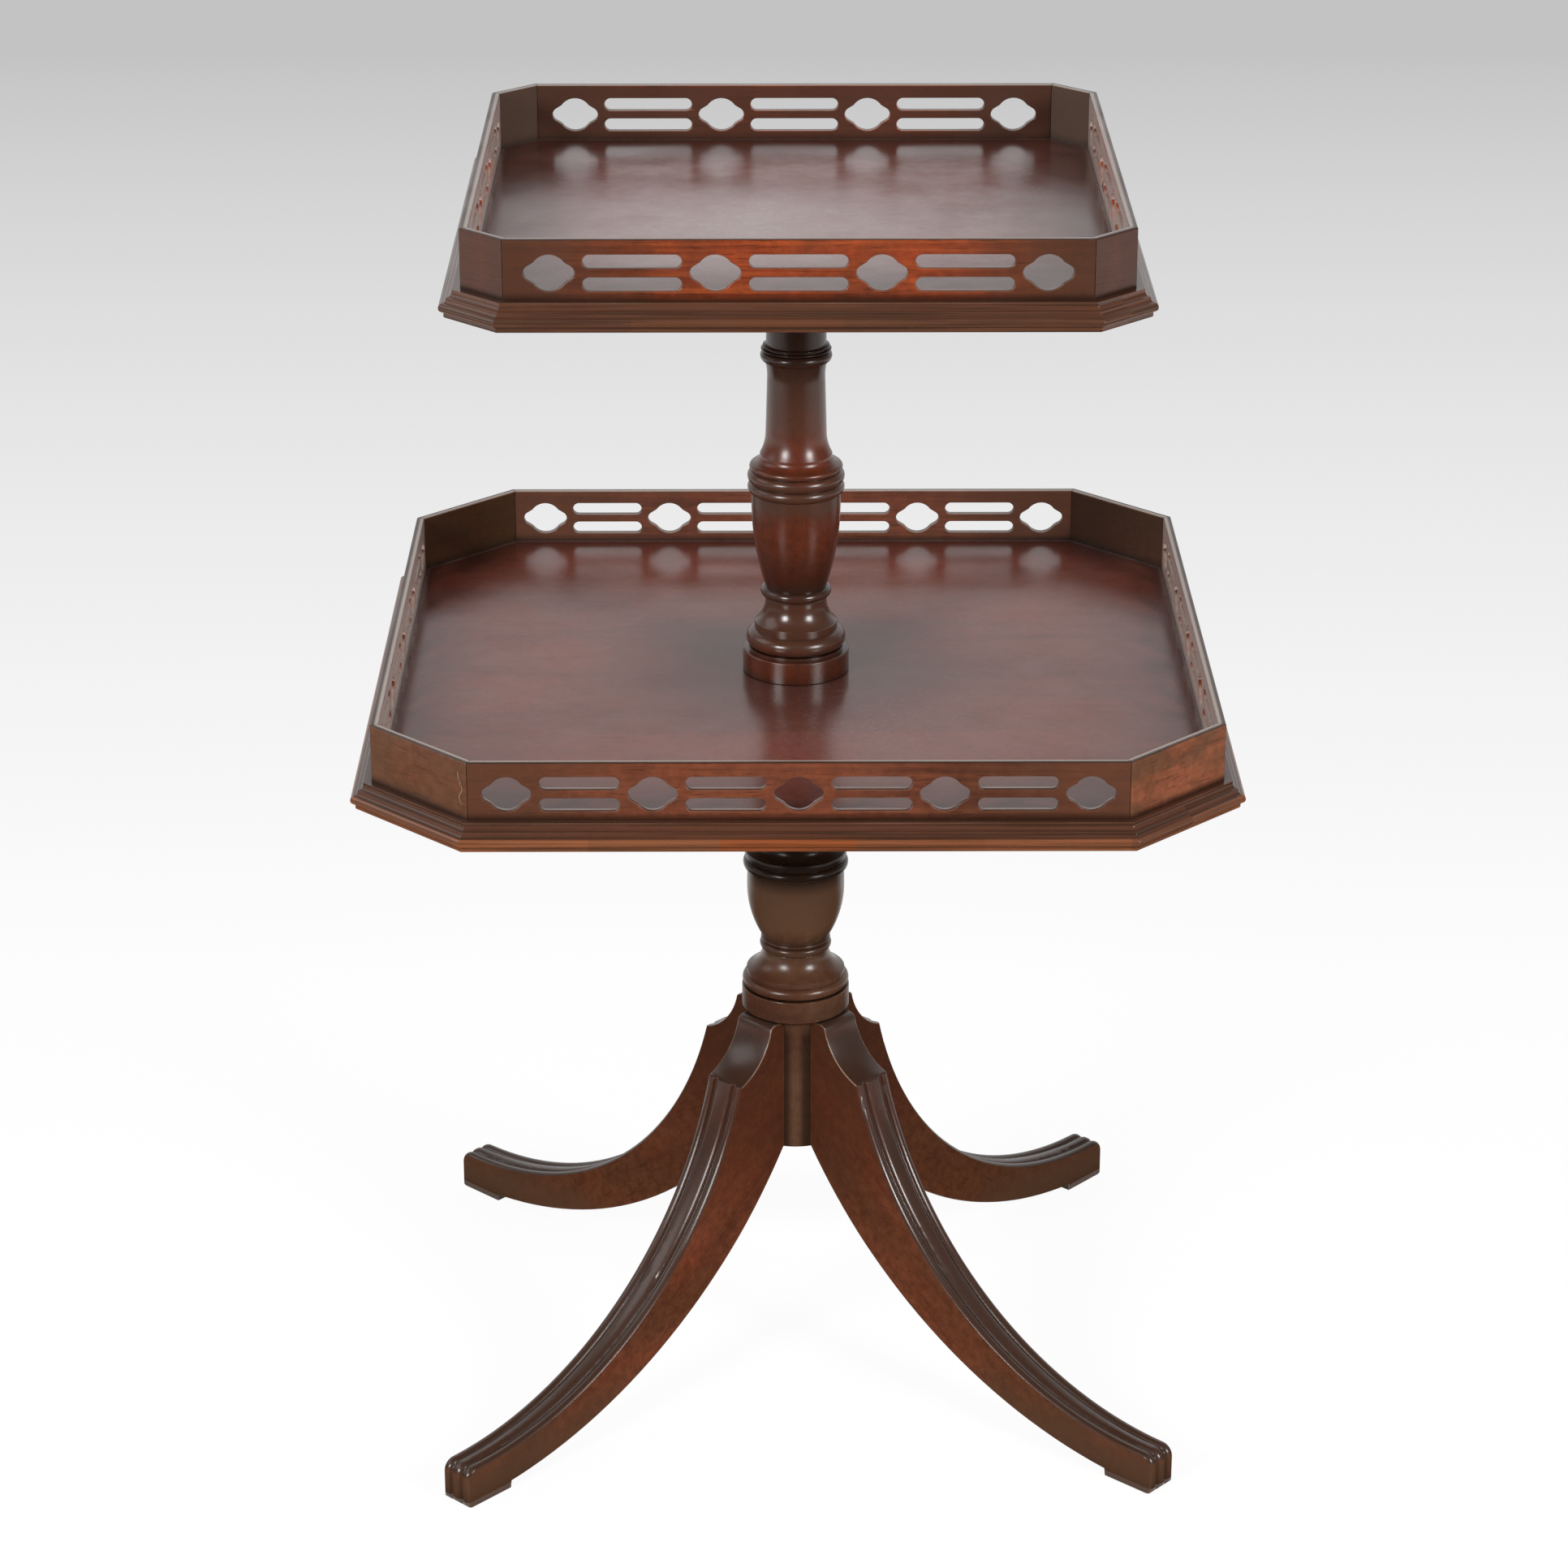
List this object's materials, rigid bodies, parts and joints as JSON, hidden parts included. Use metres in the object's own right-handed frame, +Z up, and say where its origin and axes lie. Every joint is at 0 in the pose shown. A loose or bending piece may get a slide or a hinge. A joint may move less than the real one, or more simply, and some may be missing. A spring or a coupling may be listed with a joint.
{
  "type": "dumbwaiter table",
  "caption": "Tiered wooden dumbwaiter table: octagonal trays with pierced galleries turn on a turned stem that stands on reeded sabre legs.",
  "frame": {"origin": "on the floor under the stem's axis, at the middle of the bounding box's bottom", "axes": "+Z up along the stem, -Y towards the viewer, trays square to X and Y at rest"},
  "size_m": [0.5084, 0.5084, 0.768],
  "materials": {
    "tray_mahogany": "dark lacquered, satin",
    "gallery_mahogany": "red-brown lacquered, satin",
    "stem_mahogany": "dark lacquered, gloss",
    "leg_mahogany": "dark lacquered, gloss",
    "steel": "plain",
    "brass": "plain"
  },
  "bodies": {
    "pedestal": {"upper_column": "stem_mahogany", "lower_column": "stem_mahogany", "leg_front_left": "leg_mahogany", "leg_front_right": "leg_mahogany", "leg_back_left": "leg_mahogany", "leg_back_right": "leg_mahogany", "leg_brace": "steel", "leg_brace_screws": "steel", "column_rod": "steel", "rod_nut": "steel", "rod_washer": "steel", "tray_sleeve": "steel", "tray_washer": "brass", "pivot_bush": "brass", "pivot_washer": "brass"},
    "lower_tray": {"lower_tray_board": "tray_mahogany", "lower_gallery_front": "gallery_mahogany", "lower_gallery_right": "gallery_mahogany", "lower_gallery_back": "gallery_mahogany", "lower_gallery_left": "gallery_mahogany", "lower_gallery_corner_front_right": "gallery_mahogany", "lower_gallery_corner_back_right": "gallery_mahogany", "lower_gallery_corner_back_left": "gallery_mahogany", "lower_gallery_corner_front_left": "gallery_mahogany", "tray_bush": "brass"},
    "upper_tray": {"upper_tray_board": "tray_mahogany", "upper_gallery_front": "gallery_mahogany", "upper_gallery_right": "gallery_mahogany", "upper_gallery_back": "gallery_mahogany", "upper_gallery_left": "gallery_mahogany", "upper_gallery_corner_front_right": "gallery_mahogany", "upper_gallery_corner_back_right": "gallery_mahogany", "upper_gallery_corner_back_left": "gallery_mahogany", "upper_gallery_corner_front_left": "gallery_mahogany", "pivot_plate": "steel", "pivot_plate_screws": "steel"}
  },
  "joints": [
    {"name": "lower_tray_turn", "type": "hinge", "parent": "pedestal", "child": "lower_tray", "pos_m": [0, 0, 0.444], "axis": [0, 0, 1], "continuous": true},
    {"name": "upper_tray_turn", "type": "hinge", "parent": "pedestal", "child": "upper_tray", "pos_m": [0, 0, 0.7], "axis": [0, 0, 1], "continuous": true}
  ]
}
